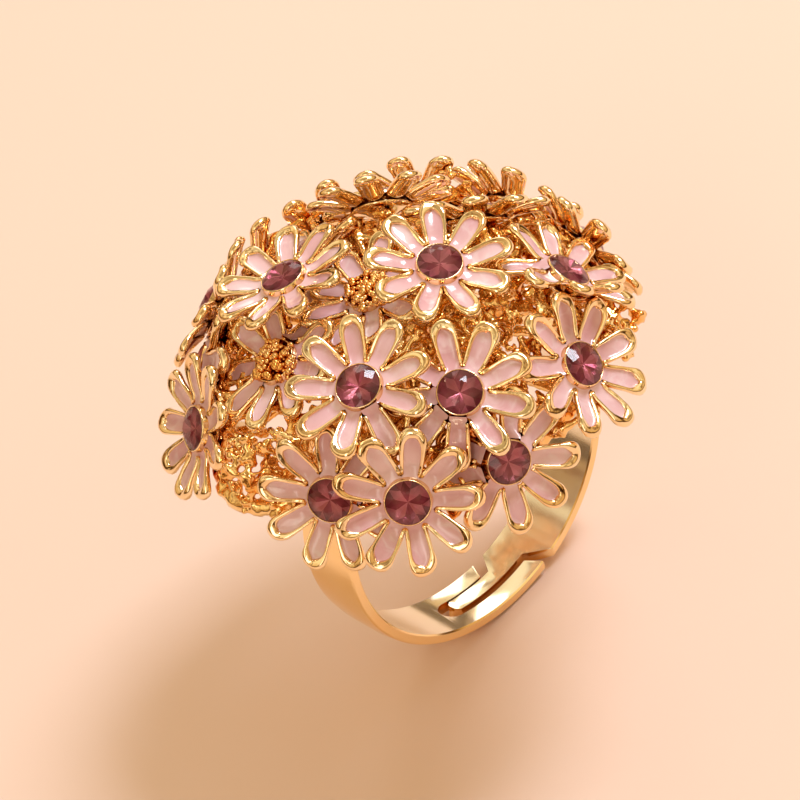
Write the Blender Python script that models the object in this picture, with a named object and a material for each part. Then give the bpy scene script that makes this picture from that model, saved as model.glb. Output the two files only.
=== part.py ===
"""Cocktail ring: a dome of enamelled daisies on an adjustable open shank.

Lengths are in millimetres and are written in metres by MM. Every shape is
worked about the finger hole's centre, which the empty ring_centre holds at
its height: +Z is the dome's axis, and the finger goes through along Y. The
lowest flat of the shank is at z = 0.
"""
import math

import bmesh
import bpy
from mathutils import Matrix, Vector
from mathutils.bvhtree import BVHTree

MM = 0.001

# Shank
FINGER_R = 9.0           # inside radius
BAND_R = 9.7             # outside radius, at the middle of the width
BAND_HALF = 1.8          # half the width
BAND_EDGE = 0.12         # how far the outside drops at the edges
BAND_CROWN = 0.55        # share of the width that is flat outside
FORK_SPAN = (-141, 15)   # angles from the lowest point towards +X, degrees
TONGUE_SPAN = (-21, 141)
SADDLE_SPAN = (141.4, 218.6)
FACET = 6                # degrees of the shank in one facet, about
FLEX_X = 5.8841          # the arms spring about these lines along Y,
FLEX_Z = 7.2664          # which lie in the band at the dome's edge
SLOT_Y = (-0.72, 0.78)   # the fork's slot
SLOT_END = -25           # its round end starts here, degrees
FORK_TIPS = ((10, 13), (-2.5, 0))   # each rail's end at the slot and at the edge, -Y rail first
TONGUE_Y = (-0.30, 0.66)  # the tongue that lies in the slot
TONGUE_TIP = -20
SHOULDERS = ((11.6, 18), (0.6, 5))  # it widens to the full band between these, -Y side first
TIP_CORNER = 0.3         # the tongue's tip has its corners cut
CUT_Z = (-BAND_R - 2, -BAND_R + 3.5)   # how deep the shank's cutters reach
CUT_X = 6.0              # how far past the opening they run
CUT_Y = BAND_HALF + 0.4  # and past the band's edges

# Openwork frame under the flowers: a net of bars
NET_SIDES = 14
NET_HUB = 10.25          # height of the spokes' middle
NET_RINGS = ((4.2, 10.2, 0), (9.3, 8.7, 0), (8.9, 10.2, 0.5),
             (7.2, 11.35, 0), (4.8, 12.1, 0.5), (2.2, 12.3, 0))   # radius, height, turn
NET_BAR = 0.75

# Flower
PETALS = 9
STEP = math.tau / PETALS
CUP_SIDES = 2 * PETALS
CUP_R = 1.30
CUP_BORE = 1.19
CUP_TOP = 0.62
CUP_FLOOR = 0.02
BACK_R = 0.95            # the casting's back ring
BACK_Z = -0.40
STEM_R = 0.42
NOTCH_R = (1.50, 1.44)   # between two petals, front and back
ROOT = 1.42              # where a petal leaves the disc
WIDE = (1.50, 0.70)      # distance from the root and half width
SHOULDER_W = (2.22, 0.50)
TIP = 2.62
BACK_SHARE = 0.88        # the petal's back is this much narrower
THICK = 0.32
CURL = math.radians(10)  # a petal rolls over, per millimetre
ROOT_HALF = math.radians(15)
STONE_UP = 0.55          # the layout's points lie this far above the petals' roots
SEAT = 0.50              # height of the stone's girdle
STEMS = [t / 10 for t in range(46, 9, -1)]     # tried from the longest
SHORT_STEM = 0.9
LIFTS = (26, 14, 2, -10, 38, -22, 50, -34, 62, 74)   # a petal's slope, tried in this order
REACHES = (1.0, 0.86, 0.72, 0.58, 0.45)              # and its share of the full length
STUB = (10, 0.3)         # slope and share of a petal with no room
MARGIN = 0.05            # clearance round a petal
CORE_MARGIN = 0.06       # and round a cup and its stem
NEIGHBOUR = 9.5          # flowers further apart than this can't touch

# Distance from the dome's axis, azimuth, height above the ring's centre, lean
# of the flower's face from +Z, azimuth of the lean, turn of its first petal,
# and what the cup holds. The first ones keep their petals' natural slope, and
# each later one is bent to clear those before it.
FLOWERS = (
    (12.1, -135, 10.5, 58, -129, 28, "stone"),
    (7.7, -145, 15.0, 24, -144, 17, "stone"),
    (3.8, -66, 16.5, 17, -71, 30, "stone"),
    (9.2, -111, 13.9, 32, -120, 4, "stone"),
    (5.1, 128, 16.0, 12, 104, 8, "stone"),
    (11.3, -75, 11.4, 54, -70, 13, "stone"),
    (9.7, -48, 13.3, 46, -28, 3, "stone"),
    (12.1, 151, 10.2, 56, 156, 9, "stone"),
    (11.6, -156, 10.5, 60, -150, 8, "stone"),
    (11.8, -108, 10.3, 70, -106, 14, "stone"),
    (10.9, 114, 12.2, 56, 112, 0, "stone"),
    (10.9, 132, 10.9, 74, 128, 12, "stone"),
    (6.9, 160, 13.5, 26, 168, 20, "grains"),
    (7.0, 46, 14.2, 58, 45, 10, "stone"),
    (6.9, -2, 14.1, 50, 36, 24, "stone"),
    (11.3, -20, 10.0, 78, -12, 12, "stone"),
    (11.5, 12, 9.4, 76, 13, 30, "stone"),
    (11.5, 40, 9.9, 72, 41, 5, "stone"),
    (11.6, 67, 9.3, 78, 68, 22, "stone"),
    (11.6, 94, 9.7, 76, 95, 36, "stone"),
    (6.6, 90, 13.7, 34, 90, 2, "stone"),
    (0.9, 160, 14.7, 8, 160, 18, "grains"),
)

# Radius, height above the girdle and turn of each row of the stone and grains
STONE_SIDES = 12
STONE_ROWS = ((1.14, 0.0, 0.0), (1.14, 0.08, 0.0), (0.66, 0.38, 0.5))
CULET = -0.44
GRAIN_ROWS = ((1.12, -0.40, 0.0), (1.12, 0.05, 0.0), (0.80, 0.36, 0.0))

GOLD = ((0.90, 0.66, 0.33, 1.0), 0.20, 1.0)      # colour, roughness, metallic
PALE_GOLD = ((0.93, 0.76, 0.50, 1.0), 0.12, 1.0)
MAUVE_GLASS = ((0.34, 0.12, 0.20, 1.0), 0.05, 0.0)


# ---------------------------------------------------------------- helpers
def material(name, finish):
    mat = bpy.data.materials.new(name)
    mat.use_nodes = True
    shader = mat.node_tree.nodes["Principled BSDF"]
    colour, roughness, metallic = finish
    shader.inputs["Base Color"].default_value = colour
    shader.inputs["Roughness"].default_value = roughness
    shader.inputs["Metallic"].default_value = metallic
    return mat


def finish_mesh(bm, name, smooth_below):
    """Turns a bmesh in millimetres into a mesh in metres, smooth across slight angles."""
    bmesh.ops.scale(bm, vec=(MM, MM, MM), verts=bm.verts)
    bmesh.ops.recalc_face_normals(bm, faces=bm.faces)
    mesh = bpy.data.meshes.new(name)
    bm.to_mesh(mesh)
    bm.free()
    mesh.shade_smooth()
    mesh.set_sharp_from_angle(angle=math.radians(smooth_below))
    return mesh


def place(name, mesh, parent, matrix=None, mat=None):
    """An object under its parent; the matrix is in millimetres."""
    ob = bpy.data.objects.new(name, mesh)
    bpy.context.scene.collection.objects.link(ob)
    ob.parent = parent
    if matrix is not None:
        ob.matrix_basis = matrix
        ob.location = matrix.translation * MM
    if mat is not None and mat.name not in mesh.materials:
        mesh.materials.append(mat)
    return ob


def turned(radius, z, index, count, turn=0.0):
    a = math.tau * (index + turn) / count
    return Vector((radius * math.cos(a), radius * math.sin(a), z))


def ring_of(bm, radius, z, count, turn=0.0):
    return [bm.verts.new(turned(radius, z, i, count, turn)) for i in range(count)]


def wall(bm, lower, upper):
    """Quads between two rings of the same count."""
    for i in range(len(lower)):
        j = (i + 1) % len(lower)
        bm.faces.new((lower[i], lower[j], upper[j], upper[i]))


# ---------------------------------------------------------------- shank
def band_mesh(name, span, shift):
    """The band's section spun between two angles, with its origin at shift."""
    a0, a1 = (math.radians(a) for a in span)
    steps = round((span[1] - span[0]) / FACET)
    facet_r = 1 / math.cos((a1 - a0) / steps / 2)   # so that the facets' middles touch the radius
    outside = [(BAND_HALF, BAND_R - BAND_EDGE), (BAND_HALF * BAND_CROWN, BAND_R),
               (-BAND_HALF * BAND_CROWN, BAND_R), (-BAND_HALF, BAND_R - BAND_EDGE)]
    section = [(-BAND_HALF, FINGER_R), (BAND_HALF, FINGER_R)]
    section += [(y, r * facet_r) for y, r in outside]
    bm = bmesh.new()
    verts = [bm.verts.new((r * math.sin(a0), y, -r * math.cos(a0))) for y, r in section]
    face = bm.faces.new(verts)
    bmesh.ops.spin(bm, geom=[face], cent=(0, 0, 0), axis=(0, -1, 0), angle=a1 - a0, steps=steps)
    bmesh.ops.translate(bm, vec=-shift, verts=bm.verts)
    return finish_mesh(bm, name, FACET * 2)


def band_x(degrees):
    return BAND_R * math.sin(math.radians(degrees))


def prism_mesh(name, outline, shift):
    """A cutter: an outline in x and y, run through the lowest part of the shank."""
    bm = bmesh.new()
    face = bm.faces.new([bm.verts.new((x, y, CUT_Z[0])) for x, y in outline])
    grown = bmesh.ops.extrude_face_region(bm, geom=[face])
    top = [v for v in grown["geom"] if isinstance(v, bmesh.types.BMVert)]
    bmesh.ops.translate(bm, vec=(0, 0, CUT_Z[1] - CUT_Z[0]), verts=top)
    bmesh.ops.translate(bm, vec=-shift, verts=bm.verts)
    return finish_mesh(bm, name, 1)


def cut(ob, name, outline, shift):
    cutter = place(name, prism_mesh(name, outline, shift), ob)
    cutter.hide_render = True
    cutter.display_type = "WIRE"
    boolean = ob.modifiers.new(name, "BOOLEAN")
    boolean.operation = "DIFFERENCE"
    boolean.solver = "EXACT"
    boolean.object = cutter


def slot_outline():
    """The slot, from its round end to the rails' tips, and all that lies beyond the tips."""
    radius = (SLOT_Y[1] - SLOT_Y[0]) / 2
    middle = (SLOT_Y[1] + SLOT_Y[0]) / 2
    centre = band_x(SLOT_END) + radius
    turns = [math.radians(a) for a in range(0, 181, 20)]
    line = [(centre - radius * math.sin(a), middle + radius * math.cos(a)) for a in turns]
    (near_in, near_out), (far_in, far_out) = ([band_x(a) for a in tip] for tip in FORK_TIPS)
    return line + [(near_in, SLOT_Y[0]), (near_out, -BAND_HALF), (near_out, -CUT_Y),
                   (CUT_X, -CUT_Y), (CUT_X, CUT_Y), (far_out, CUT_Y), (far_out, BAND_HALF),
                   (far_in, SLOT_Y[1])]


def tongue_side(side):
    """What is cut away beside the tongue, towards -Y or +Y."""
    edge = TONGUE_Y[0] if side < 0 else TONGUE_Y[1]
    corner = edge - side * TIP_CORNER
    far = side * CUT_Y
    inner, outer = (band_x(a) for a in SHOULDERS[0 if side < 0 else 1])
    tip = band_x(TONGUE_TIP) + 0.35
    return [(outer, far), (outer, side * BAND_HALF), (inner, edge), (tip, edge),
            (tip - 0.35, corner), (-CUT_X, corner), (-CUT_X, far)]


def shank(centre, mat):
    """The two spring arms, each with its origin on its flexing line, and the saddle."""
    flex = [Vector((side * FLEX_X, 0, FLEX_Z)) for side in (-1, 1)]
    fork = place("fork_arm", band_mesh("fork_arm", FORK_SPAN, flex[0]), centre,
                 Matrix.Translation(flex[0]), mat)
    cut(fork, "cut_slot", slot_outline(), flex[0])
    tongue = place("tongue_arm", band_mesh("tongue_arm", TONGUE_SPAN, flex[1]), centre,
                   Matrix.Translation(flex[1]), mat)
    cut(tongue, "cut_side_near", tongue_side(-1), flex[1])
    cut(tongue, "cut_side_far", tongue_side(1), flex[1])
    place("saddle", band_mesh("saddle", SADDLE_SPAN, Vector()), centre, None, mat)


# ---------------------------------------------------------------- frame
def dome_frame(centre, mat):
    """Bars along the edges of a closed cap, so that it stays open between them."""
    bm = bmesh.new()
    hub = bm.verts.new((0, 0, NET_HUB))
    rings = [ring_of(bm, radius, z, NET_SIDES, turn) for radius, z, turn in NET_RINGS]
    inner = rings[0]
    for i in range(0, NET_SIDES, 2):
        bm.faces.new((hub, inner[(i + 2) % NET_SIDES], inner[i + 1], inner[i]))
    for lower, upper in zip(rings, rings[1:]):
        wall(bm, lower, upper)
    bm.faces.new(rings[-1])
    frame = place("dome_frame", finish_mesh(bm, "dome_frame", 30), centre, None, mat)
    bars = frame.modifiers.new("bars", "WIREFRAME")
    bars.thickness = NET_BAR * MM
    bars.use_even_offset = True
    bars.use_replace = True
    bars.offset = 0.0
    return frame


# ---------------------------------------------------------------- flowers
def direction(lean, azimuth):
    a, b = math.radians(lean), math.radians(azimuth)
    return Vector((math.sin(a) * math.cos(b), math.sin(a) * math.sin(b), math.cos(a)))


def flower_matrix(row):
    """The flower's frame: its face looks along its own Z, and petal 0 along its X."""
    radius, azimuth, height, lean, lean_azimuth, turn, _ = row
    face = direction(lean, lean_azimuth)
    across = Vector((0, 0, 1)).cross(face).normalized()
    t = math.radians(turn)
    first = across * math.cos(t) + face.cross(across) * math.sin(t)
    m = Matrix((first, face.cross(first), face)).transposed().to_4x4()
    b = math.radians(azimuth)
    m.translation = Vector((radius * math.cos(b), radius * math.sin(b), height)) - face * STONE_UP
    return m


def along(s, lift, steps=8):
    """A petal's middle line at s from its root: radius, height and slope."""
    start = math.radians(lift)
    r, z = ROOT, 0.0
    for i in range(steps):
        slope = start - CURL * s * (i + 0.5) / steps
        r += math.cos(slope) * s / steps
        z += math.sin(slope) * s / steps
    return r, z, start - CURL * s


def petal_points(k, lift, reach, grow=0.0):
    """Front and back outline of petal k: its left side, its tip, its right side."""
    turn = Matrix.Rotation(STEP * k, 3, "Z")
    sides = [(WIDE[0] * reach, WIDE[1]), (SHOULDER_W[0] * reach, SHOULDER_W[1])]
    outline = [(s, -w - grow) for s, w in sides]
    outline += [(TIP * reach + grow, 0.0)]
    outline += [(s, w + grow) for s, w in reversed(sides)]
    front, back = [], []
    for s, w in outline:
        r, z, slope = along(s, lift)
        up = Vector((-math.sin(slope), 0, math.cos(slope)))
        middle = Vector((r, 0, z))
        front.append(turn @ (middle + up * grow + Vector((0, w, 0))))
        back.append(turn @ (middle - up * (THICK + grow) + Vector((0, w * BACK_SHARE, 0))))
    return front, back


def petal_tree(matrix, k, lift, reach):
    """A petal on its own, a little swollen, for the clearance test."""
    front, back = petal_points(k, lift, reach, MARGIN)
    for points, z in ((front, MARGIN), (back, -THICK - MARGIN)):
        angles = [STEP * k + side * ROOT_HALF for side in (-1, 1)]
        corners = [Vector((ROOT * math.cos(a), ROOT * math.sin(a), z)) for a in angles]
        points.insert(0, corners[0])
        points.append(corners[1])
    n = len(front)
    faces = [tuple(range(n)), tuple(reversed(range(n, 2 * n)))]
    faces += [(i, n + i, n + (i + 1) % n, (i + 1) % n) for i in range(n)]
    return BVHTree.FromPolygons([matrix @ p for p in front + back], faces)


def core_tree(matrix, stem):
    """The cup with its stone and stem, a little swollen."""
    rows = ((0.8, 0.95), (CUP_R + CORE_MARGIN, CUP_TOP), (CUP_R + CORE_MARGIN, -0.05),
            (1.0 + CORE_MARGIN, -0.45), (STEM_R + CORE_MARGIN, -stem))
    sides = 12
    points = [matrix @ turned(r, z, i, sides) for r, z in rows for i in range(sides)]
    faces = [tuple(range(sides)), tuple(reversed(range(len(points) - sides, len(points))))]
    for q in range(0, len(points) - sides, sides):
        faces += [(q + i, q + sides + i, q + sides + (i + 1) % sides, q + (i + 1) % sides)
                  for i in range(sides)]
    return BVHTree.FromPolygons(points, faces)


def frame_tree(frame):
    """The openwork frame as it stands, in millimetres about the ring's centre."""
    evaluated = frame.evaluated_get(bpy.context.evaluated_depsgraph_get())
    mesh = evaluated.to_mesh()
    points = [v.co / MM for v in mesh.vertices]
    faces = [tuple(p.vertices) for p in mesh.polygons]
    evaluated.to_mesh_clear()
    return BVHTree.FromPolygons(points, faces)


def stem_lengths(matrices, bars):
    """The longest stem of each flower that stays clear of the frame."""
    found = []
    for m in matrices:
        clear = (s for s in STEMS if not bars.overlap(core_tree(m, s)))
        found.append(next(clear, SHORT_STEM))
    return found


def fit_petal(matrix, k, obstacles):
    """The first slope and length of petal k that touches none of the obstacles."""
    for reach in REACHES:
        for lift in LIFTS:
            tree = petal_tree(matrix, k, lift, reach)
            if not any(tree.overlap(other) for other in obstacles):
                return lift, reach, tree
    return *STUB, petal_tree(matrix, k, *STUB)


def fit_petals(matrices, stems, bars):
    """Slope and length of every petal, flower by flower."""
    cores = [core_tree(m, s) for m, s in zip(matrices, stems)]
    petals = [[] for _ in matrices]
    shapes = []
    for i, m in enumerate(matrices):
        near = [j for j, other in enumerate(matrices)
                if j != i and (other.translation - m.translation).length < NEIGHBOUR]
        obstacles = [bars] + [cores[j] for j in near] + [t for j in near for t in petals[j]]
        fitted = [fit_petal(m, k, obstacles) for k in range(PETALS)]
        petals[i] = [tree for _, _, tree in fitted]
        shapes.append([(lift, reach) for lift, reach, _ in fitted])
    return shapes


def cup(bm, base, back):
    """The wall and floor round the stone, from the disc's ring up."""
    rim = ring_of(bm, CUP_R, CUP_TOP, CUP_SIDES)
    bore = ring_of(bm, CUP_BORE, CUP_TOP, CUP_SIDES)
    floor = ring_of(bm, CUP_BORE, CUP_FLOOR, CUP_SIDES)
    for lower, upper in ((base, rim), (rim, bore), (bore, floor)):
        wall(bm, lower, upper)
    bm.faces.new(floor)


def petal(bm, k, shape, base, back, notches):
    """One petal, joined to the disc's front ring and back ring."""
    points, under = petal_points(k, *shape)
    top = [bm.verts.new(p) for p in points]
    bottom = [bm.verts.new(p) for p in under]
    left, right = notches[k - 1], notches[k]
    for ring, (a, b, tip, c, d), n in ((base, top, 0), (back, bottom, 1)):
        before, middle, after = (ring[(2 * k + i) % CUP_SIDES] for i in (-1, 0, 1))
        for face in ((before, left[n], a), (before, a, middle), (middle, a, d),
                     (middle, d, after), (after, d, right[n]), (a, b, c, d), (b, tip, c)):
            bm.faces.new(face)
    edge = [left] + list(zip(top, bottom)) + [right]
    for (t0, b0), (t1, b1) in zip(edge, edge[1:]):
        bm.faces.new((t0, b0, b1, t1))


def stem(bm, back, length):
    """From the back ring down to the stem's end, which has half as many sides."""
    end = ring_of(bm, STEM_R, -length, PETALS)
    for k in range(PETALS):
        after = end[(k + 1) % PETALS]
        here, halfway, beyond = (back[(2 * k + i) % CUP_SIDES] for i in range(3))
        for face in ((here, halfway, end[k]), (halfway, after, end[k]), (halfway, beyond, after)):
            bm.faces.new(face)
    bm.faces.new(end)


def daisy_mesh(name, shapes, stem_length):
    """One casting: the stone's cup, nine petals and the stem."""
    bm = bmesh.new()
    base = ring_of(bm, CUP_R, 0.0, CUP_SIDES)
    back = ring_of(bm, BACK_R, BACK_Z, CUP_SIDES)
    cup(bm, base, back)
    notches = [(bm.verts.new(turned(NOTCH_R[0], 0.0, k, PETALS, 0.5)),
                bm.verts.new(turned(NOTCH_R[1], -THICK, k, PETALS, 0.5))) for k in range(PETALS)]
    for k, shape in enumerate(shapes):
        petal(bm, k, shape, base, back, notches)
    stem(bm, back, stem_length)
    bmesh.ops.triangulate(bm, faces=bm.faces)
    return finish_mesh(bm, name, 35)


def stone_mesh():
    """A twelve-sided stone: pointed back, narrow girdle, crown and table."""
    bm = bmesh.new()
    low, high, table = (ring_of(bm, r, z, STONE_SIDES, turn) for r, z, turn in STONE_ROWS)
    culet = bm.verts.new((0, 0, CULET))
    wall(bm, low, high)
    for i in range(STONE_SIDES):
        j = (i + 1) % STONE_SIDES
        bm.faces.new((high[i], high[j], table[i]))
        bm.faces.new((high[j], table[j], table[i]))
        bm.faces.new((culet, low[j], low[i]))
    bm.faces.new(table)
    return finish_mesh(bm, "stone", 5)


def grains_mesh():
    """The low knob of gold grains in a cup with no stone."""
    bm = bmesh.new()
    rows = [ring_of(bm, r, z, STONE_SIDES, turn) for r, z, turn in GRAIN_ROWS]
    for lower, upper in zip(rows, rows[1:]):
        wall(bm, lower, upper)
    bm.faces.new(rows[0])
    bm.faces.new(rows[-1])
    return finish_mesh(bm, "grains", 35)


def flowers(centre, frame, gold, glass):
    matrices = [flower_matrix(row) for row in FLOWERS]
    bars = frame_tree(frame)
    stems = stem_lengths(matrices, bars)
    shapes = fit_petals(matrices, stems, bars)
    fillings = {"stone": (stone_mesh(), glass), "grains": (grains_mesh(), gold)}
    for i, row in enumerate(FLOWERS):
        tag = "%02d" % (i + 1)
        daisy = place("daisy_" + tag, daisy_mesh("daisy_" + tag, shapes[i], stems[i]), centre,
                      matrices[i], gold)
        mesh, mat = fillings[row[-1]]
        place(row[-1] + "_" + tag, mesh, daisy, Matrix.Translation((0, 0, SEAT)), mat)


def build():
    for ob in list(bpy.data.objects):
        bpy.data.objects.remove(ob)
    gold = material("gold_plate", GOLD)
    centre = place("ring_centre", None, None, Matrix.Translation((0, 0, BAND_R)))
    shank(centre, material("band_gold", PALE_GOLD))
    frame = dome_frame(centre, gold)
    flowers(centre, frame, gold, material("stone_glass", MAUVE_GLASS))


build()
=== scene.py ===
"""The looks of the daisy cocktail ring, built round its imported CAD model.

Sizes are in millimetres and turned into metres by MM. A flower is worked in
its own frame, with its face along +Z and petal 0 along +X, and heights in the
layout are measured from the ring's centre, at z = RC.
"""
import math
import random

import bmesh
import bpy
import numpy as np
from mathutils import Matrix, Vector

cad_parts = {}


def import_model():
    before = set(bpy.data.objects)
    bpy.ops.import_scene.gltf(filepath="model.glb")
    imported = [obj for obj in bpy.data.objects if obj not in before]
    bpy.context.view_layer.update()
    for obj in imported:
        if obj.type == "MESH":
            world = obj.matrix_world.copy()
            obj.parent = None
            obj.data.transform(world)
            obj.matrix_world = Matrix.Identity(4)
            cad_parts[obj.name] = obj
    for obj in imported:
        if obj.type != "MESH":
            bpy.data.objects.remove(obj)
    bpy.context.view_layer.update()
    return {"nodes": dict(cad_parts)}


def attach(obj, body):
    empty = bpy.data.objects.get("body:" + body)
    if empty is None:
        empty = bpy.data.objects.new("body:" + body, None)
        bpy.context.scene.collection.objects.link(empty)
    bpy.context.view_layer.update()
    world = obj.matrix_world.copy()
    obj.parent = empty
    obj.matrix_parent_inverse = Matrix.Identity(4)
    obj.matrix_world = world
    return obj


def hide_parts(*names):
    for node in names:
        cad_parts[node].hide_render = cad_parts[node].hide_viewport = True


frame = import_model()

MM = 0.001
RC = 9.7                  # height of the ring's centre

# ---------------------------------------------------------------- camera
CAMERA_AT = Vector((-0.1013, -0.1651, 0.2008))
CAMERA_AIM = Vector((-0.00418, -0.00427, 0.0215))
CAMERA_ROLL = math.radians(-21.21)
LENS = 226.5

# ---------------------------------------------------------------- layout
# Distance from the dome's axis, azimuth, height above the ring's centre, lean
# of the face, azimuth of the lean, turn of the first petal, and the filling.
FLOWERS = (
    (12.1, -135, 10.5, 58, -129, 28, "stone"),
    (7.7, -145, 15.0, 24, -144, 17, "stone"),
    (3.8, -66, 16.5, 17, -71, 30, "stone"),
    (9.2, -111, 13.9, 32, -120, 4, "stone"),
    (5.1, 128, 16.0, 12, 104, 8, "stone"),
    (11.3, -75, 11.4, 54, -70, 13, "stone"),
    (9.7, -48, 13.3, 46, -28, 3, "stone"),
    (12.1, 151, 10.2, 56, 156, 9, "stone"),
    (11.6, -156, 10.5, 60, -150, 8, "stone"),
    (11.8, -108, 10.3, 70, -106, 14, "stone"),
    (10.9, 114, 12.2, 56, 112, 0, "stone"),
    (10.9, 132, 10.9, 74, 128, 12, "stone"),
    (6.9, 160, 13.5, 26, 168, 20, "grains"),
    (7.0, 46, 14.2, 58, 45, 10, "stone"),
    (6.9, -2, 14.1, 50, 36, 24, "stone"),
    (11.3, -20, 10.0, 78, -12, 12, "stone"),
    (11.5, 12, 9.4, 76, 13, 30, "stone"),
    (11.5, 40, 9.9, 72, 41, 5, "stone"),
    (11.6, 67, 9.3, 78, 68, 22, "stone"),
    (11.6, 94, 9.7, 76, 95, 36, "stone"),
    (6.6, 90, 13.7, 34, 90, 2, "stone"),
    (0.9, 160, 14.7, 8, 160, 18, "grains"),
)
PETALS = 9
STEP = math.tau / PETALS
ROOT = 1.42               # where a petal leaves the disc
TIP = 2.62                # a petal's full length
CURL = math.radians(10)   # a petal rolls over, per millimetre
STONE_UP = 0.55           # the layout's points lie this far above the petals' roots
LIFTS = (26, 14, 2, -10, 38, -22, 50, -34, 62, 74)   # the slopes that a petal may have
REACHES = (1.0, 0.86, 0.72, 0.58, 0.45)              # and its shares of the full length
STUB = (10, 0.3)          # slope and share of a petal with no room

# Petal's cross-section, about the middle of its rim
RIM = 0.12                # the rim's radius along the sides
RIM_TIP = 1.6             # and how much fatter it is at the tip
RIM_HALF = 0.56           # half width between the rims' middles
RIM_ROOT = (0.10, 0.455)  # where a rim starts: distance from the root, half width
RIM_WIDEST = 0.60         # share of the petal's length where it is widest
SIDE_N = 7
ARC_N = 8
CAST_RINGS = ((0.98, -0.10), (0.90, 0.02), (0.62, 0.085), (0.34, 0.075), (0.05, 0.10),
              (-0.45, 0.085), (-0.85, 0.01), (-0.98, -0.10), (-0.70, -0.20))
RIM_FLAT = (0.6, 0.25)    # how much of the rim's growth goes into its height, above and below
RIM_WAVER = (0.10, 0.7)   # the rim's girth wavers: by how much, and radians per point
UNDER = ((0.5, -0.30), (1.0, -0.34))   # the petal's back: share of the way to the spine, height
CAST_FLOOR = -0.13        # height of the gold under the enamel
DISH = 0.05               # the petal's sides stand this much higher than its middle
DISC_RISE = 0.47          # the disc climbs to the stone's bezel
DISC_LEVEL = 0.62         # and is level this far from the root
DISC_EDGE = -0.20
DISC_CORNERS = ((DISC_EDGE, 0.444), (-0.02, 0.46))   # a petal's share of it: along, half width
ENAMEL_OVERLAP = 0.86     # the enamel starts this share of the way in from the rim's middle
ENAMEL_ROWS = ((0.0, 0.0), (0.10, -0.035), (0.3, -0.058), (0.62, -0.07), (1.0, -0.074))
ENAMEL_FALL = 0.35        # distance from the root over which it sinks to its full depth

# Cup round the stone, from inside its wall to the stem: radius, height
CUP = ((1.15, 0.20), (1.15, 0.50), (1.165, 0.545), (1.19, 0.56), (1.22, 0.53), (1.235, 0.46),
       (1.27, 0.30), (1.33, 0.08), (1.40, -0.05), (1.60, -0.10), (1.65, -0.16), (1.60, -0.26),
       (1.20, -0.37), (0.95, -0.42), (0.60, -0.62), (0.45, -0.85))
CUP_SIDES = 40
STEM_R = 0.42
SHORT_STEM = 0.9

# Stone: radius and height of its rings, from the table down
TABLE = (0.56, 0.87)
STARS = (0.86, 0.74)
GIRDLE_R = 1.165
GIRDLE_Z = (0.53, 0.48)
MAINS = (0.66, 0.28)
CULET_Z = 0.12


# ---------------------------------------------------------------- mesh tools
def link(name, mesh, mats):
    """A new object in the scene, with its materials."""
    ob = bpy.data.objects.new(name, mesh)
    bpy.context.scene.collection.objects.link(ob)
    for m in mats:
        mesh.materials.append(m)
    return ob


def new_mesh(name, verts, faces, smooth=True, matrix=None, merge=0.0):
    """A mesh in metres from points in millimetres, with its faces turned out."""
    v = np.asarray(verts, float)
    if matrix is not None:
        a = np.array(matrix)
        v = v @ a[:3, :3].T + a[:3, 3]
    mesh = bpy.data.meshes.new(name)
    mesh.from_pydata((v * MM).tolist(), [], faces)
    bm = bmesh.new()
    bm.from_mesh(mesh)
    if merge:
        bmesh.ops.remove_doubles(bm, verts=bm.verts, dist=merge * MM)
    bmesh.ops.recalc_face_normals(bm, faces=bm.faces)
    bm.to_mesh(mesh)
    bm.free()
    if smooth:
        mesh.shade_smooth()
    return mesh


def grid_faces(rows, cols, start=0, closed=False):
    """Quads of a grid stored row by row."""
    last = cols if closed else cols - 1
    return [(start + i * cols + j, start + i * cols + (j + 1) % cols,
             start + (i + 1) * cols + (j + 1) % cols, start + (i + 1) * cols + j)
            for i in range(rows - 1) for j in range(last)]


def lathe(profile, sides, start=0):
    """Points and faces of a profile of (radius, z) turned about Z."""
    a = np.arange(sides) * math.tau / sides
    pts = np.concatenate([np.stack((r * np.cos(a), r * np.sin(a), np.full(sides, z)), 1)
                          for r, z in profile])
    return pts, grid_faces(len(profile), sides, start, True)


# ---------------------------------------------------------------- flower frame
def direction(lean, azimuth):
    """The unit vector that leans this far from +Z towards the azimuth, in degrees."""
    a, b = math.radians(lean), math.radians(azimuth)
    return Vector((math.sin(a) * math.cos(b), math.sin(a) * math.sin(b), math.cos(a)))


def flower_matrix(row):
    """A flower's frame, from its row of the layout."""
    radius, azimuth, height, lean, lean_azimuth, turn, _ = row
    face = direction(lean, lean_azimuth)
    across = Vector((0, 0, 1)).cross(face).normalized()
    t = math.radians(turn)
    first = across * math.cos(t) + face.cross(across) * math.sin(t)
    m = Matrix((first, face.cross(first), face)).transposed().to_4x4()
    b = math.radians(azimuth)
    place = Vector((radius * math.cos(b), radius * math.sin(b), RC + height))
    m.translation = place - face * STONE_UP
    return m


class Petal:
    """One petal: its number, slope and length, and how the casting strays from the pattern."""

    def __init__(self, k, lift, reach):
        self.k, self.lift, self.length = k, lift, TIP * reach
        self.wide = random.uniform(0.93, 1.05)
        self.sweep = random.uniform(-0.10, 0.10)
        self.twist = random.uniform(-0.16, 0.16)
        self.wave = random.uniform(0, math.tau)

    def place(self, s, w, h):
        """Points along, across and up the petal, in the flower's frame."""
        s = np.asarray(s, float)
        t = np.clip(s / TIP, 0, 1) ** 2
        climb = np.clip((DISC_LEVEL - s) / (DISC_LEVEL - DISC_EDGE), 0, 1) ** 2
        return spin_z(bend(s, w * (1 + (self.wide - 1) * np.sqrt(t)) + self.sweep * t,
                           h + self.twist * t * w + DISC_RISE * climb, self.lift), self.k)


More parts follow.
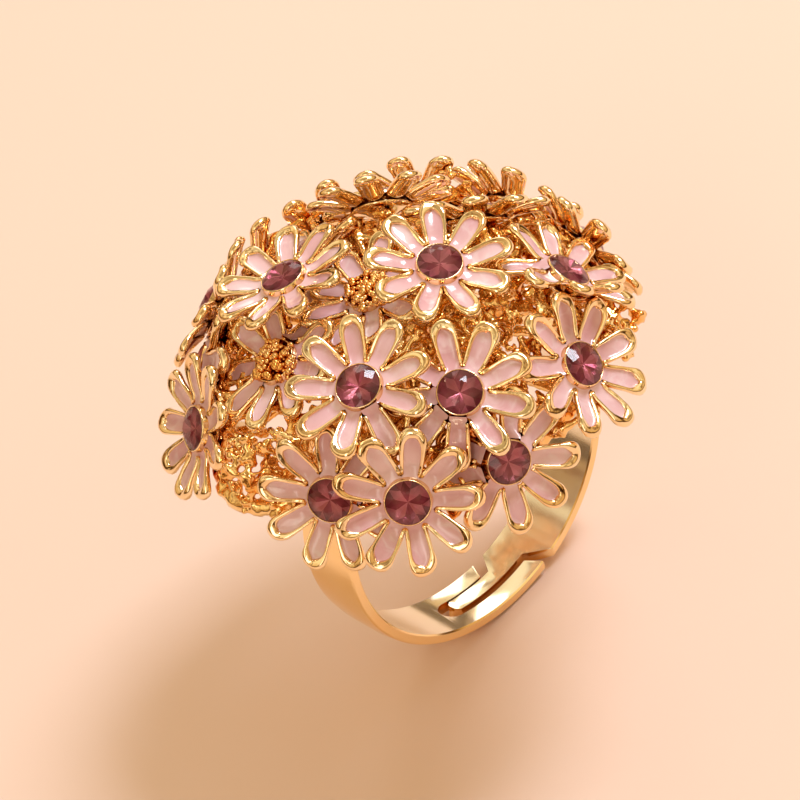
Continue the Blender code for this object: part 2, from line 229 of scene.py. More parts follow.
def bend(s, w, h, lift):
    """Petal coordinates (along, across, up) to the flower's own frame, for petal 0."""
    s, w, h = np.broadcast_arrays(np.asarray(s, float), np.asarray(w, float), np.asarray(h, float))
    a = math.radians(lift)
    slope = a - CURL * s
    r = ROOT + (math.sin(a) - np.sin(slope)) / CURL
    z = (np.cos(slope) - math.cos(a)) / CURL
    h = h + DISH * (w / RIM_HALF) ** 2
    return np.stack((r - np.sin(slope) * h, w, z + np.cos(slope) * h), -1)


def spin_z(points, k):
    """Points of petal 0 turned to petal k."""
    c, s = math.cos(STEP * k), math.sin(STEP * k)
    return points @ np.array(((c, s, 0), (-s, c, 0), (0, 0, 1)))


def local_points(node, matrix):
    """A CAD node's vertices in a flower's frame, in millimetres."""
    pts = np.array([v.co for v in frame["nodes"][node].data.vertices]) / MM
    inv = np.array(matrix.inverted())
    return pts @ inv[:3, :3].T + inv[:3, 3]


def petal_shapes(points):
    """The slope and length of each petal of a CAD daisy, from where its tips are."""
    shapes = []
    for k in range(PETALS):
        options = [(lift, reach) for reach in REACHES for lift in LIFTS] + [STUB]
        tips = [spin_z(bend(TIP * reach, 0, 0, lift)[None], k)[0] for lift, reach in options]
        gaps = [np.min(np.linalg.norm(points - t, axis=1)) for t in tips]
        shapes.append(options[int(np.argmin(gaps))])
    return shapes


# ---------------------------------------------------------------- petals
def rim_line(length):
    """Round a petal at its rim's middle: along, across, the spine point faced, and girth."""
    widest = RIM_ROOT[0] + RIM_WIDEST * (length - RIM_ROOT[0])
    far = length - RIM * (1 + RIM_TIP) * 0.8
    arc = max(far - widest, 0.3)
    half = []
    for i in range(SIDE_N):
        u = i / SIDE_N
        s = RIM_ROOT[0] + (widest - RIM_ROOT[0]) * u
        half.append((s, RIM_ROOT[1] + (RIM_HALF - RIM_ROOT[1]) * math.sin(u * math.pi / 2), s))
    pull = max(0.0, (arc * arc - RIM_HALF * RIM_HALF) / arc)
    for j in range(ARC_N + 1):
        t = math.pi / 2 * j / ARC_N
        s = widest + arc * math.sin(t)
        half.append((s, RIM_HALF * math.cos(t) ** 0.92, widest + pull * math.sin(t)))
    line = [(s, -w, c) for s, w, c in half] + [(s, w, c) for s, w, c in half[-2::-1]]
    s, w, c = np.array(line).T
    swell = np.clip((s / length - 0.52) / 0.42, 0, 1)
    girth = 1 + RIM_TIP * swell * swell * (3 - 2 * swell)
    return s, w, c, girth


def inward(s, w, c, d):
    """The rim line moved towards the spine by d."""
    ds, dw = c - s, -w
    n = np.maximum(np.hypot(ds, dw), 1e-6)
    return s + ds / n * d, w + dw / n * d


def petal_cast(p, start):
    """The gold of one petal: floor, rim and rounded back."""
    s, w, c, g = rim_line(p.length)
    waver, pace = RIM_WAVER
    g = g * (1 + waver * np.sin(np.arange(len(s)) * pace + p.wave))
    rows = [p.place(c, 0 * w, CAST_FLOOR + 0 * w)]
    for d, h in CAST_RINGS:
        a, b = inward(s, w, c, d * RIM * g)
        rows.append(p.place(a, b, h * (1 + (g - 1) * RIM_FLAT[0 if h > 0 else 1])))
    for share, h in UNDER:
        rows.append(p.place(s + (c - s) * share, w * (1 - share), h + 0 * w))
    cols = len(s)
    faces = grid_faces(len(rows), cols, start)
    left = [start + i * cols for i in range(len(rows))]
    right = [start + i * cols + cols - 1 for i in range(len(rows))]
    faces.append(tuple(left[1:] + right[-2:0:-1]))
    return np.concatenate(rows), faces


def petal_enamel(p, start):
    """The enamel that fills one petal, and its share of the disc round the stone."""
    s, w, c, g = rim_line(p.length)
    a, b = inward(s, w, c, ENAMEL_OVERLAP * RIM * g)
    root_s, root_w = np.array(DISC_CORNERS).T
    a = np.concatenate((root_s, a, root_s[::-1]))
    b = np.concatenate((-root_w, b, root_w[::-1]))
    c = np.concatenate((root_s, c, root_s[::-1]))
    fall = np.clip(a / ENAMEL_FALL, 0, 1)
    rows = []
    for share, h in ENAMEL_ROWS:
        depth = h * (0.45 + 0.55 * fall) - 0.02
        rows.append(p.place(a + (c - a) * share, b * (1 - share), depth))
    return np.concatenate(rows), grid_faces(len(rows), len(a), start)


def flower_cast(name, petals, stem, matrix, mats):
    """One daisy casting: petals, the stone's cup and the stem."""
    end = -max(stem, SHORT_STEM)
    pts, faces = lathe(CUP + ((STEM_R, end + 0.02), (0.0, end)), CUP_SIDES)
    parts = [pts]
    count = len(pts)
    for petal in petals:
        p, f = petal_cast(petal, count)
        parts.append(p)
        faces += f
        count += len(p)
    mesh = new_mesh(name, np.concatenate(parts), faces, True, matrix, 0.002)
    return link(name, mesh, mats)


def flower_enamel(name, petals, matrix, mats):
    """The enamel of one daisy, petals and disc together."""
    parts, faces, count = [], [], 0
    for petal in petals:
        p, f = petal_enamel(petal, count)
        parts.append(p)
        faces += f
        count += len(p)
    mesh = new_mesh(name, np.concatenate(parts), faces, True, matrix, 0.002)
    return link(name, mesh, mats)


# ---------------------------------------------------------------- stone
def stone_cut(name, matrix, turn, mats):
    """A round brilliant: table, stars, kites, halves, girdle and a back foiled in two tones, painted
    highlight and shade.
    """
    def ring(r, z, n, off):
        return [(r * math.cos(math.tau * (i + off) / n + turn),
                 r * math.sin(math.tau * (i + off) / n + turn), z) for i in range(n)]

    verts = ring(*TABLE, 8, 0) + ring(*STARS, 8, 0.5) + ring(GIRDLE_R, GIRDLE_Z[0], 16, 0)
    verts += ring(GIRDLE_R, GIRDLE_Z[1], 16, 0) + ring(*MAINS, 8, 0.5) + [(0, 0, CULET_Z)]
    table, star, top, low, main, culet = 0, 8, 16, 32, 48, 56
    faces = [tuple(range(8))]
    for i in range(8):
        j, h = (i + 1) % 8, (i - 1) % 8
        faces.append((table + i, star + i, table + j))
        faces.append((table + i, star + h, top + 2 * i, star + i))
        faces.append((star + i, top + 2 * i, top + 2 * i + 1))
        faces.append((star + i, top + 2 * i + 1, top + (2 * i + 2) % 16))
    for i in range(16):
        j = (i + 1) % 16
        faces.append((top + i, low + i, low + j, top + j))
    # Pavilion facets take the light and the dark foil in turn: painted facet highlight and shade.
    tones = [0] * len(faces)
    for i in range(8):
        h = (i - 1) % 8
        faces.append((low + 2 * i, main + h, culet, main + i))
        faces.append((low + 2 * i, main + i, low + 2 * i + 1))
        faces.append((low + 2 * i + 1, main + i, low + (2 * i + 2) % 16))
        tones += [1 + i % 2, 2 - i % 2, 1 + random.randrange(2)]
    mesh = new_mesh(name, verts, faces, False, matrix)
    ob = link(name, mesh, mats)
    mesh.polygons.foreach_set("material_index", tones)
    return ob


# ---------------------------------------------------------------- materials
def fill_ramp(ramp, stops):
    """Sets a colour ramp node's stops, each a position and a colour."""
    while len(ramp.color_ramp.elements) < len(stops):
        ramp.color_ramp.elements.new(0.5)
    for e, (pos, colour) in zip(ramp.color_ramp.elements, stops):
        e.position = pos
        e.color = (*colour, 1.0)


class Nodes:
    """Short names for building one material's nodes."""

    def __init__(self, name):
        self.mat = bpy.data.materials.new(name)
        self.mat.use_nodes = True
        self.tree = self.mat.node_tree
        self.shader = self.tree.nodes["Principled BSDF"]
        self.coord = self.tree.nodes.new("ShaderNodeTexCoord").outputs["Object"]

    def set(self, **values):
        for key, value in values.items():
            self.shader.inputs[key.replace("_", " ")].default_value = value

    def noise(self, scale, detail=2.0, rough=0.5, stretch=(1, 1, 1), distortion=0.0):
        m = self.tree.nodes.new("ShaderNodeMapping")
        m.inputs["Scale"].default_value = stretch
        self.tree.links.new(self.coord, m.inputs["Vector"])
        n = self.tree.nodes.new("ShaderNodeTexNoise")
        n.inputs["Scale"].default_value = scale
        n.inputs["Detail"].default_value = detail
        n.inputs["Roughness"].default_value = rough
        n.inputs["Distortion"].default_value = distortion
        self.tree.links.new(m.outputs["Vector"], n.inputs["Vector"])
        return n.outputs["Fac"]

    def ramp(self, fac, *stops):
        r = self.tree.nodes.new("ShaderNodeValToRGB")
        fill_ramp(r, stops)
        self.tree.links.new(fac, r.inputs["Fac"])
        return r.outputs["Color"]

    def mix(self, fac, a, b, blend="MIX"):
        m = self.tree.nodes.new("ShaderNodeMix")
        m.data_type = "RGBA"
        m.blend_type = blend
        for value, key in ((fac, 0), (a, 6), (b, 7)):
            if isinstance(value, (float, int)):
                m.inputs[key].default_value = value
            elif isinstance(value, tuple):
                m.inputs[key].default_value = (*value, 1.0)
            else:
                self.tree.links.new(value, m.inputs[key])
        return m.outputs[2]

    def scaled(self, fac, low, high):
        m = self.tree.nodes.new("ShaderNodeMapRange")
        m.inputs["To Min"].default_value = low
        m.inputs["To Max"].default_value = high
        self.tree.links.new(fac, m.inputs["Value"])
        return m.outputs["Result"]

    def bump(self, fac, strength, distance):
        b = self.tree.nodes.new("ShaderNodeBump")
        b.inputs["Strength"].default_value = strength
        b.inputs["Distance"].default_value = distance
        self.tree.links.new(fac, b.inputs["Height"])
        self.tree.links.new(b.outputs["Normal"], self.shader.inputs["Normal"])

    def occlusion(self, distance):
        a = self.tree.nodes.new("ShaderNodeAmbientOcclusion")
        a.inputs["Distance"].default_value = distance
        a.samples = 4
        return a.outputs["AO"]

    def to(self, value, socket):
        self.tree.links.new(value, self.shader.inputs[socket])


def gold_material(name, light, deep, rough, bump_scale, bump_size, crevice_shade, metallic=1.0):
    """Polished plate: uneven tone, with painted shade darkening its crevices through an occlusion mask,
    and a cast surface.
    """
    n = Nodes(name)
    tone = n.ramp(n.noise(420, 3), (0.35, deep), (0.65, light))
    deepest_shade = tuple(0.45 * c * c for c in crevice_shade)
    # Painted shade: an occlusion mask darkens the colour in crevices and hollows.
    painted_crevice_shade = n.ramp(n.occlusion(0.0008), (0.08, deepest_shade), (0.36, crevice_shade), (0.66, (1.0, 1.0, 1.0)))
    n.to(n.mix(1.0, tone, painted_crevice_shade, "MULTIPLY"), "Base Color")
    n.to(n.scaled(n.noise(1500, 3), rough * 0.6, rough * 1.5), "Roughness")
    n.bump(n.noise(bump_scale, 3, 0.55), 0.6, bump_size)
    n.set(Metallic=metallic)
    return n.mat


def enamel_material():
    """Glossy pink enamel, with paler streaks painted into its colour as streak highlights."""
    n = Nodes("petal_enamel")
    wide = n.ramp(n.noise(330, 2, 0.5), (0.35, (0.72, 0.40, 0.45)), (0.68, (0.85, 0.60, 0.65)))
    # Painted highlight: paler streaks laid into the colour.
    painted_streak_highlight = n.ramp(n.noise(900, 3, 0.6, (1, 1, 1), 0.8), (0.52, (0, 0, 0)), (0.72, (1, 1, 1)))
    n.to(n.mix(n.scaled(painted_streak_highlight, 0.0, 0.55), wide, (0.88, 0.76, 0.80)), "Base Color")
    n.to(n.scaled(n.noise(1200, 2), 0.10, 0.24), "Roughness")
    n.bump(n.noise(1300, 2), 0.35, 0.00002)
    n.set(Coat_Weight=0.6, Coat_Roughness=0.05, IOR=1.5)
    return n.mat


def glass_material():
    """Mauve glass."""
    n = Nodes("stone_glass_mauve")
    n.to(n.ramp(n.noise(700, 1), (0.3, (0.60, 0.28, 0.34)), (0.7, (0.70, 0.36, 0.41))), "Base Color")
    n.set(Roughness=0.02, IOR=1.45, Transmission_Weight=1.0)
    return n.mat


def foil_material(name, deep, light):
    """The foil behind a stone's facets."""
    n = Nodes(name)
    n.to(n.ramp(n.noise(900, 2), (0.35, deep), (0.7, light)), "Base Color")
    n.set(Metallic=0.6, Roughness=0.28)
    return n.mat


# ---------------------------------------------------------------- band
BAND_OUT, BAND_HALF = 9.7, 1.8   # outside radius and half width
PAINTED_REFLECTION_R = 9.03           # faces nearer the axis take a paler copy of the band's gold, a painted reflection
BAND_FINE = 1.5           # degrees of the band in one facet
FORK_SPAN = (-141, 15)    # angles from the lowest point towards +X, degrees
TONGUE_SPAN = (-21, 141)
SADDLE_SPAN = (141.4, 218.6)
SLOT_Y = (-0.72, 0.78)
SLOT_END = -25
TONGUE_Y = (-0.30, 0.66)
TONGUE_TIP = -20
TONGUE_END = 0.35         # length of the tip, whose corners are cut
TIP_CORNER = 0.3
FORK_TIPS = ((10, 13), (-2.5, 0))   # each rail's end at the slot and at the edge, -Y rail first
SHOULDERS = ((11.6, 18), (0.6, 5))  # where the tongue widens to the full band, -Y side first
CUT_X, CUT_Y = 6.0, 2.2   # how far the cutters run
CUT_Z = (-2.0, 3.5)
EDGE_RADIUS = 0.06
BEVEL_ABOVE = 50          # degrees at an edge
SMOOTH_BELOW = 32
# The band's section: across, radius
SECTION = ((-1.8, 9.08), (-1.72, 9.0), (1.72, 9.0), (1.8, 9.08), (1.8, 9.52), (1.72, 9.60),
           (1.0, 9.69), (0.0, 9.70), (-1.0, 9.69), (-1.72, 9.60), (-1.8, 9.52))


def band_x(degrees):
    """How far along X the band's outside is at this angle."""
    return BAND_OUT * math.sin(math.radians(degrees))


def band_solid(span):
    """The section swept round between two angles, with its ends closed."""
    steps = round((span[1] - span[0]) / BAND_FINE)
    verts = []
    for i in range(steps + 1):
        a = math.radians(span[0] + (span[1] - span[0]) * i / steps)
        verts += [(r * math.sin(a), y, RC - r * math.cos(a)) for y, r in SECTION]
    n = len(SECTION)
    faces = grid_faces(steps + 1, n, 0, True)
    faces += [tuple(range(n)), tuple(range(steps * n, steps * n + n))]
    return verts, faces


def prism(outline):
    """A cutter through the lowest part of the band."""
    n = len(outline)
    verts = [(x, y, z) for z in CUT_Z for x, y in outline]
    return verts, [tuple(range(n)), tuple(range(n, 2 * n))] + grid_faces(2, n, 0, True)


def band_piece(name, span, cutters, mats):
    """A stretch of band, cut by prisms from below, with its edges broken."""
    ob = link(name, new_mesh(name, *band_solid(span), False), mats)
    tools = []
    for i, outline in enumerate(cutters):
        tool = link(name + "_tool%d" % i, new_mesh("tool", *prism(outline), False), [])
        cut = ob.modifiers.new("cut", "BOOLEAN")
        cut.operation = "DIFFERENCE"
        cut.solver = "EXACT"
        cut.object = tool
        tools.append(tool)
    bevel = ob.modifiers.new("edge", "BEVEL")
    bevel.width = EDGE_RADIUS * MM
    bevel.segments = 3
    bevel.limit_method = "ANGLE"
    bevel.angle_limit = math.radians(BEVEL_ABOVE)
    mesh = bpy.data.meshes.new_from_object(ob.evaluated_get(bpy.context.evaluated_depsgraph_get()))
    ob.modifiers.clear()
    ob.data = mesh
    for tool in tools:
        bpy.data.objects.remove(tool)
    mesh.shade_smooth()
    mesh.set_sharp_from_angle(angle=math.radians(SMOOTH_BELOW))
    # Faces nearer the axis take the paler second material: painted reflection.
    for face in mesh.polygons:
        x, _, z = face.center / MM
        face.material_index = int(math.hypot(x, z - RC) < PAINTED_REFLECTION_R)
    return ob


def slot_outline():
    """The slot, from its round end to the rails' tips, and all that lies beyond the tips."""
    low, high = SLOT_Y
    radius, middle = (high - low) / 2, (high + low) / 2
    centre = band_x(SLOT_END) + radius
    turns = [math.radians(a) for a in range(0, 181, 10)]
    line = [(centre - radius * math.sin(a), middle + radius * math.cos(a)) for a in turns]
    (near_in, near_out), (far_in, far_out) = ([band_x(a) for a in tip] for tip in FORK_TIPS)
    return line + [(near_in, low), (near_out, -BAND_HALF), (near_out, -CUT_Y), (CUT_X, -CUT_Y),
                   (CUT_X, CUT_Y), (far_out, CUT_Y), (far_out, BAND_HALF), (far_in, high)]


def tongue_side(side):
    """What is cut away beside the tongue, towards -Y or +Y."""
    edge = TONGUE_Y[0 if side < 0 else 1]
    inner, outer = (band_x(a) for a in SHOULDERS[0 if side < 0 else 1])
    tip = band_x(TONGUE_TIP)
    corner = edge - side * TIP_CORNER
    return [(outer, side * CUT_Y), (outer, side * BAND_HALF), (inner, edge), (tip + TONGUE_END, edge),
            (tip, corner), (-CUT_X, corner), (-CUT_X, side * CUT_Y)]


# ---------------------------------------------------------------- filigree
DOME_TOP = 13.3           # the lattice's dome, above the ring's centre
DOME_DROP = 0.031         # its fall, per square millimetre of radius
CORAL_TRIES = 12000
CORAL_EDGE = 12.2         # the lattice's outer radius
CORAL_DEPTH = (-0.3, 2.8)  # its depth over the dome's surface
CORAL_SPACING = 1.02
CORAL_LINK = 1.55         # joints nearer than this may be wired together
CORAL_WIRE = 0.22         # radius of its wires
CORAL_WANDER = 0.07       # how far their points stray
CORAL_VOXEL = 0.12
GRAINS = 12               # grains round each joint, at this distance and of this radius
GRAIN_AWAY = (0.25, 0.5)
GRAIN_R = (0.12, 0.27)
BEAD_STEP = 0.2           # spacing of the beads that make a wire
GAP = 0.42                # the coral stays this far behind a petal
STEM_DEPTH = 1.6          # and ignores a flower whose petals lie this far in front
KNOB_GRAINS = 90          # grains over a cup with no stone
KNOB_R = 1.25
KNOB_TOP = 0.80
KNOB_DROP = 0.42          # from its top to its edge
KNOB_ROUGH = 0.16         # grains stand this much higher or lower
KNOB_GRAIN_R = (0.09, 0.26)
KNOB_BED = (0.3, 0.22)    # depth and radius of the grains below them
GOLDEN_ANGLE = math.pi * (3 - math.sqrt(5))
BASE_RIM_R = 10.4
BASE_RIM_Z = 9.0
BASE_RIM_BEADS = 96
BASE_RIM_WIRE = 0.45
SPOKES = 14               # from the base rim to a small ring, and on to the middle
SPOKE_WIRE = 0.32
SPOKE_WANDER = 0.03
HUB_R = 4.2
HUB_Z = 10.2
RIM_BULGE = (1.9, 172, 18)  # where no flower hides it: how far out, azimuth, spread


def icosphere(level):
    """Points and triangles of a ball of radius 1."""
    bm = bmesh.new()
    bmesh.ops.create_icosphere(bm, subdivisions=level, radius=1.0)
    pts = np.array([v.co for v in bm.verts])
    tris = np.array([[v.index for v in f.verts] for f in bm.faces])
    bm.free()
    return pts, tris


def beads(name, balls, level, mats):
    """One mesh of many small balls, each (x, y, z, radius) in millimetres."""
    pts, tris = icosphere(level)
    b = np.array(balls)
    turn = [np.array(Matrix.Rotation(random.uniform(0, 6), 3, "X")) for _ in range(7)]
    verts = np.concatenate([(pts @ turn[i % 7]) * r + (x, y, z) for i, (x, y, z, r) in enumerate(b)])
    faces = (tris[None] + (np.arange(len(b)) * len(pts))[:, None, None]).reshape(-1, 3)
    mesh = bpy.data.meshes.new(name)
    mesh.from_pydata((verts * MM).tolist(), [], faces.tolist())
    mesh.shade_smooth()
    return link(name, mesh, mats)


def jitter(size):
    """A random step of up to this size each way."""
    return Vector([random.uniform(-1, 1) for _ in range(3)]) * size


def dome_point(x, y, lift=0.0):
    """A point on the filigree's dome above (x, y)."""
    return Vector((x, y, RC + DOME_TOP - DOME_DROP * (x * x + y * y) + lift))


def petal_height(petal, r):
    """Height of a petal's middle line at r from its flower's axis."""
    rise = math.sin(math.radians(petal.lift))
    slope = math.asin(max(-1.0, min(1.0, rise - (r - ROOT) * CURL)))
    return (math.cos(slope) - math.cos(math.radians(petal.lift))) / CURL


def behind_flowers(p, daisies, size=0.0):
    """Whether a grain lies behind the petals and discs of all the flowers, or beside them."""
    for to_flower, petals in daisies:
        q = to_flower @ p
        r = math.hypot(q.x, q.y)
        if r > ROOT + TIP + GAP or q.z < -STEM_DEPTH:
            continue
        angle = math.atan2(q.y, q.x)
        petal = petals[round(angle / STEP) % PETALS]
        aside = abs(r * math.sin(angle - STEP * petal.k))
        if r < ROOT + GAP:
            limit = -GAP
        elif aside > RIM_HALF + RIM + size or r > ROOT + petal.length + RIM + size:
            limit = 0.1
        else:
            limit = petal_height(petal, r) - GAP
        if q.z > limit - size:
            return False
    return True


def wire(balls, a, b, radius, wander):
    """Adds a row of beads from a to b."""
    steps = max(2, int((b - a).length / BEAD_STEP))
    for i in range(steps + 1):
        p = a.lerp(b, i / steps) + jitter(wander)
        balls.append((*p, radius * random.uniform(0.75, 1.3)))


def fused(ob, voxel):
    """The object's pieces run together as one cast body."""
    fuse = ob.modifiers.new("fuse", "REMESH")
    fuse.mode = "VOXEL"
    fuse.voxel_size = voxel * MM
    mesh = bpy.data.meshes.new_from_object(ob.evaluated_get(bpy.context.evaluated_depsgraph_get()))
    ob.modifiers.clear()
    ob.data = mesh
    mesh.shade_smooth()
    return ob


def coral_nodes(daisies):
    """Random joints of the lattice, a spacing apart, up to the backs of the flowers."""
    nodes = np.zeros((0, 3))
    for _ in range(CORAL_TRIES):
        a, r = random.uniform(0, math.tau), CORAL_EDGE * math.sqrt(random.random())
        p = dome_point(r * math.cos(a), r * math.sin(a), random.uniform(*CORAL_DEPTH))
        if len(nodes) and np.min(np.sum((nodes - p) ** 2, 1)) < CORAL_SPACING ** 2:
            continue
        if behind_flowers(p, daisies):
            nodes = np.vstack((nodes, p))
    return [Vector(p) for p in nodes]


def rim_point(azimuth):
    """A point of the base rim's middle line."""
    out, middle, spread = RIM_BULGE
    bulge = math.exp(-(((azimuth - middle) / spread) ** 2))
    a, r = math.radians(azimuth), BASE_RIM_R + out * bulge
    return Vector((r * math.cos(a), r * math.sin(a), RC + BASE_RIM_Z - 0.5 * bulge))


def filigree(name, daisies, mats):
    """Cast coral of grains and wires over spokes and a base rim, fused together."""
    random.seed(11)
    balls = []
    nodes = coral_nodes(daisies)
    for i, p in enumerate(nodes):
        for q in nodes[i + 1:]:
            if (p - q).length < CORAL_LINK and random.random() < 0.5:
                wire(balls, p, q, CORAL_WIRE, CORAL_WANDER)
        for _ in range(GRAINS):
            grain = p + jitter(1).normalized() * random.uniform(*GRAIN_AWAY)
            size = random.uniform(*GRAIN_R)
            if behind_flowers(grain, daisies, size):
                balls.append((*grain, size))
    rim = [rim_point(i * 360 / BASE_RIM_BEADS) for i in range(BASE_RIM_BEADS)]
    for i, p in enumerate(rim):
        wire(balls, p, rim[(i + 1) % BASE_RIM_BEADS], BASE_RIM_WIRE, 0.0)
    hub = Vector((0, 0, RC + HUB_Z + 0.05))
    for i in range(SPOKES):
        a = math.tau * i / SPOKES
        inner = Vector((HUB_R * math.cos(a), HUB_R * math.sin(a), RC + HUB_Z))
        wire(balls, inner, rim_point(math.degrees(a)), SPOKE_WIRE, SPOKE_WANDER)
        wire(balls, hub, inner, SPOKE_WIRE, SPOKE_WANDER)
    return fused(beads(name, balls, 1, mats), CORAL_VOXEL)


def grain_knob(name, matrix, mats):
    """A heap of fine grains over a cup with no stone."""
    balls = []
    depth, bed_r = KNOB_BED
    for i in range(KNOB_GRAINS):
        r = KNOB_R * math.sqrt((i + random.random()) / KNOB_GRAINS)
        a = i * GOLDEN_ANGLE + random.uniform(-0.5, 0.5)
        z = KNOB_TOP - KNOB_DROP * (r / KNOB_R) ** 2 + random.uniform(-KNOB_ROUGH, KNOB_ROUGH)
        x, y = r * math.cos(a), r * math.sin(a)
        balls.append((*(matrix @ Vector((x, y, z))), random.uniform(*KNOB_GRAIN_R)))
        balls.append((*(matrix @ Vector((x, y, z - depth))), bed_r))
    return beads(name, balls, 2, mats)


# ---------------------------------------------------------------- stage
FLOOR_RADII = (0.01, 400, 1500)
LAMP_AIM = Vector((0, 0, 0.018))
LAMP_AWAY = 0.45


def floor():
    """A wide disc of peach paper."""
    n = Nodes("peach_paper")
    n.to(n.ramp(n.noise(14, 2), (0.3, (0.86, 0.655, 0.56)), (0.7, (0.87, 0.665, 0.572))), "Base Color")
    n.set(Roughness=0.75)
    pts, faces = lathe([(r, 0.0) for r in FLOOR_RADII], 48)
    ob = link("floor", new_mesh("floor", pts, faces), [n.mat])


def lamp(name, azimuth, elevation, size, watts, colour):
    """An area light aimed at the dome, from this azimuth and elevation; size is width, height."""
    data = bpy.data.lights.new(name, "AREA")
    data.shape = "RECTANGLE"
    data.size, data.size_y = size
    data.energy = watts
    data.color = colour
    ob = bpy.data.objects.new(name, data)
    bpy.context.scene.collection.objects.link(ob)
    ob.location = LAMP_AIM + direction(90 - elevation, azimuth) * LAMP_AWAY
    ob.rotation_euler = (LAMP_AIM - ob.location).to_track_quat("-Z", "Y").to_euler()
    ob.visible_camera = False


# The tent's colour against height, from straight down to straight up
SKY = ((0.0, (1.0, 0.78, 0.45)), (0.50, (0.65, 0.40, 0.15)), (0.515, (0.08, 0.03, 0.008)),
       (0.575, (0.12, 0.05, 0.012)), (0.62, (0.95, 0.60, 0.26)), (0.74, (1.02, 0.72, 0.35)),
       (0.80, (1.45, 1.20, 0.76)), (0.90, (1.45, 1.24, 0.82)), (0.95, (0.75, 0.55, 0.28)),
       (1.0, (0.70, 0.50, 0.25)))
# Its seams are dark where a slow noise passes its middle value
SEAMS = ((0.0, (1, 1, 1)), (0.44, (1, 1, 1)), (0.475, (0.25, 0.12, 0.05)),
         (0.50, (0.25, 0.12, 0.05)), (0.54, (1, 1, 1)))
SEAM_SCALE = 1.7
SKY_STRENGTH = 0.77
BACKDROP = (1.0, 0.76, 0.57)   # what the camera sees past the floor's edge


def world():
    """A tent of light over the paper, with a dark gap round its foot and dark seams."""
    w = bpy.data.worlds.new("studio")
    bpy.context.scene.world = w
    w.use_nodes = True
    t = w.node_tree
    back = t.nodes["Background"]
    coord = t.nodes.new("ShaderNodeTexCoord")
    sep = t.nodes.new("ShaderNodeSeparateXYZ")
    t.links.new(coord.outputs["Generated"], sep.inputs[0])
    half = t.nodes.new("ShaderNodeMapRange")
    half.inputs["From Min"].default_value = -1.0
    t.links.new(sep.outputs["Z"], half.inputs["Value"])
    noise = t.nodes.new("ShaderNodeTexNoise")
    noise.inputs["Scale"].default_value = SEAM_SCALE
    noise.inputs["Detail"].default_value = 1.0
    t.links.new(coord.outputs["Generated"], noise.inputs["Vector"])
    sky, seam = (t.nodes.new("ShaderNodeValToRGB") for _ in range(2))
    for ramp, stops, source in ((sky, SKY, half.outputs["Result"]), (seam, SEAMS, noise.outputs["Fac"])):
        fill_ramp(ramp, stops)
        t.links.new(source, ramp.inputs["Fac"])
    mix = t.nodes.new("ShaderNodeMix")
    mix.data_type = "RGBA"
    mix.blend_type = "MULTIPLY"
    mix.inputs[0].default_value = 1.0
    t.links.new(sky.outputs["Color"], mix.inputs[6])
    t.links.new(seam.outputs["Color"], mix.inputs[7])
    t.links.new(mix.outputs[2], back.inputs["Color"])
    back.inputs["Strength"].default_value = SKY_STRENGTH
    paper = t.nodes.new("ShaderNodeBackground")
    paper.inputs["Color"].default_value = (*BACKDROP, 1.0)
    seen = t.nodes.new("ShaderNodeLightPath")
    choose = t.nodes.new("ShaderNodeMixShader")
    t.links.new(seen.outputs["Is Camera Ray"], choose.inputs[0])
    t.links.new(back.outputs[0], choose.inputs[1])
    t.links.new(paper.outputs[0], choose.inputs[2])
    t.links.new(choose.outputs[0], t.nodes["World Output"].inputs["Surface"])


def camera():
    """A long lens, rolled as the ring leans."""
    data = bpy.data.cameras.new("camera")
    ob = bpy.data.objects.new("camera", data)
    bpy.context.scene.collection.objects.link(ob)
    bpy.context.scene.camera = ob
    look = (CAMERA_AIM - CAMERA_AT).to_track_quat("-Z", "Y")
    ob.location = CAMERA_AT
    ob.rotation_euler = (look.to_matrix() @ Matrix.Rotation(CAMERA_ROLL, 3, "Z")).to_euler()
    data.sensor_width = 36
    data.lens = LENS
    data.clip_start = 0.01


# ---------------------------------------------------------------- build
def carry(piece, body, node):
    """Makes a piece ride on a body and stand for a CAD node, which it hides."""
    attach(piece, body)
    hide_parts(node)


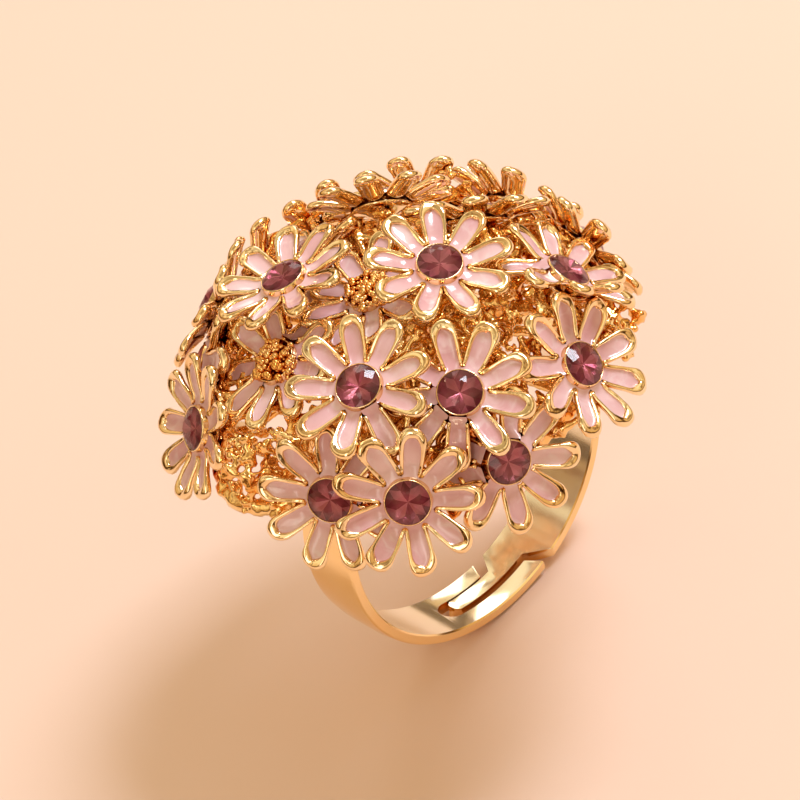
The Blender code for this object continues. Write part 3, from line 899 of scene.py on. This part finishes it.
def flower(tag, row):
    """One daisy with its enamel and its stone or grains; gives its inverse frame and petals."""
    matrix = flower_matrix(row)
    points = local_points("daisy_" + tag, matrix)
    petals = [Petal(k, *shape) for k, shape in enumerate(petal_shapes(points))]
    cast = flower_cast("daisy_%s_cast" % tag, petals, -points[:, 2].min(), matrix, [gold])
    carry(cast, "head", "daisy_" + tag)
    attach(flower_enamel("daisy_%s_enamel" % tag, petals, matrix, [enamel]), "head")
    if row[-1] == "stone":
        gem = stone_cut("stone_%s_cut" % tag, matrix, random.uniform(0, 1), [glass, *lit_and_shaded_foils])
        carry(gem, "head", "stone_" + tag)
    else:
        knob = grain_knob("grains_%s_cast" % tag, matrix, [grit_painted_shade])
        carry(knob, "head", "grains_" + tag)
    return matrix.inverted(), petals


def shank_piece(node, body, span, cutters):
    """A stretch of band that stands for a CAD node."""
    piece = band_piece(node + "_polished", span, cutters, [outside, inside])
    carry(piece, body, node)


# Each gold's last colour is the painted shade that the occlusion mask lays in its crevices.
gold = gold_material("gold_polished", (1.0, 0.82, 0.53), (1.0, 0.71, 0.38), 0.10, 2300, 0.000018,
                     (0.78, 0.42, 0.14))
# The granulated gold: a darker, more orange copy of the polished gold, painted shade of the recesses it
# lies in.
grit_painted_shade = gold_material("gold_granulated_painted_shade", (1.0, 0.74, 0.37), (0.94, 0.50, 0.13), 0.13, 4200, 0.00003,
                     (0.82, 0.36, 0.08))
outside = gold_material("gold_band", (1.0, 0.76, 0.41), (1.0, 0.72, 0.36), 0.15, 1500, 0.000002,
                        (1.0, 0.70, 0.36))
# The band's inside: a paler, less metallic copy of its gold, as painted reflection.
inside = gold_material("gold_band_inside_painted_reflection", (1.0, 0.92, 0.74), (1.0, 0.90, 0.70), 0.13, 1500, 0.000002,
                       (1.0, 0.84, 0.55), 0.75)
enamel = enamel_material()
glass = glass_material()
# A lighter and a darker copy of one foil: painted highlight and shade on the stone's back facets.
lit_and_shaded_foils = [foil_material("stone_foil_painted_highlight", (0.66, 0.34, 0.38), (0.92, 0.58, 0.62)),
         foil_material("stone_foil_painted_shade", (0.30, 0.10, 0.13), (0.55, 0.24, 0.29))]

random.seed(5)
daisies = [flower("%02d" % number, row) for number, row in enumerate(FLOWERS, 1)]
shank_piece("fork_arm", "fork_arm", FORK_SPAN, [slot_outline()])
shank_piece("tongue_arm", "tongue_arm", TONGUE_SPAN, [tongue_side(-1), tongue_side(1)])
shank_piece("saddle", "head", SADDLE_SPAN, [])
carry(filigree("dome_filigree", daisies, [grit_painted_shade]), "head", "dome_frame")

floor()
world()
lamp("key", -9, 56, (0.15, 0.15), 1.47, (0.84, 0.90, 1.0))
lamp("rear_box", 45, 27, (0.14, 0.18), 0.19, (1.0, 0.98, 0.95))
lamp("side_box", -150, 30, (0.10, 0.35), 0.22, (1.0, 0.96, 0.9))
camera()
bpy.context.scene.view_settings.view_transform = "Standard"
